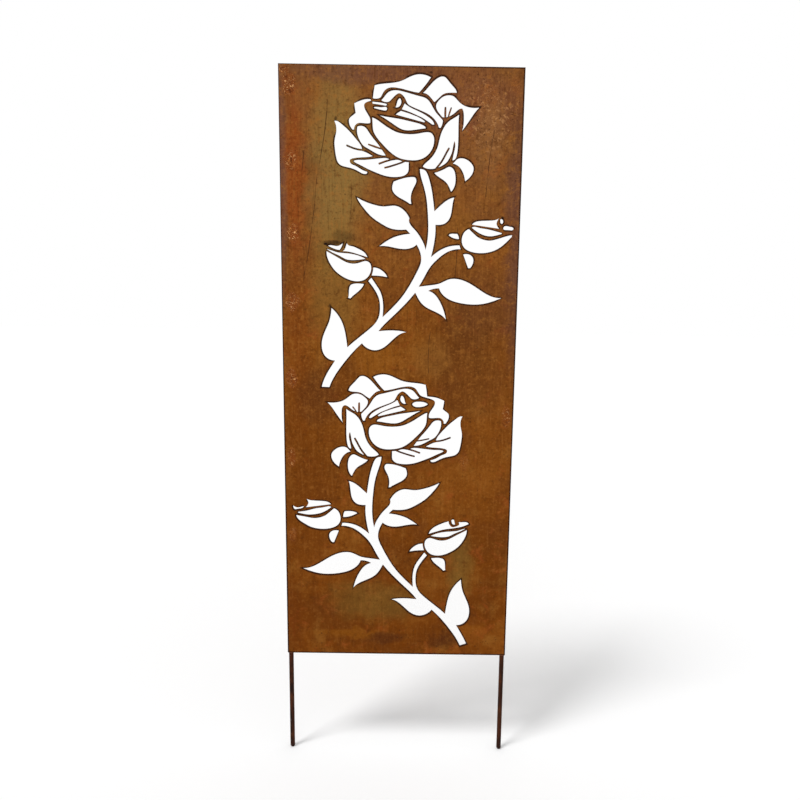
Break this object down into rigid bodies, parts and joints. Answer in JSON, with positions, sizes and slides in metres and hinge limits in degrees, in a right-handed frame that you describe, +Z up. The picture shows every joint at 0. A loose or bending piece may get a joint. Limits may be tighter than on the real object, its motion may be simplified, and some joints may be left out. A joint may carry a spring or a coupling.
{
  "type": "garden trellis",
  "caption": "Tall flat garden trellis screen of rusted steel sheet with rose sprigs cut right through it, on round ground stakes welded to its back.",
  "frame": {"origin": "midway between the two stakes' tips, at the height of the tips and in the middle of the part's depth", "axes": "+Z up along the stakes, -Y out of the sheet's front, +X to the right seen from the front"},
  "size_m": [0.47, 0.013, 1.427],
  "materials": {
    "rusted_sheet": "rusted, rough",
    "rusted_bar": "rusted, rough",
    "rusted_weld": "rusted, rough"
  },
  "bodies": {
    "root": {"panel": "rusted_sheet", "left_stake": "rusted_bar", "right_stake": "rusted_bar", "left_tack_welds": "rusted_weld", "right_tack_welds": "rusted_weld", "left_corner_weld": "rusted_weld", "right_corner_weld": "rusted_weld"}
  },
  "joints": []
}
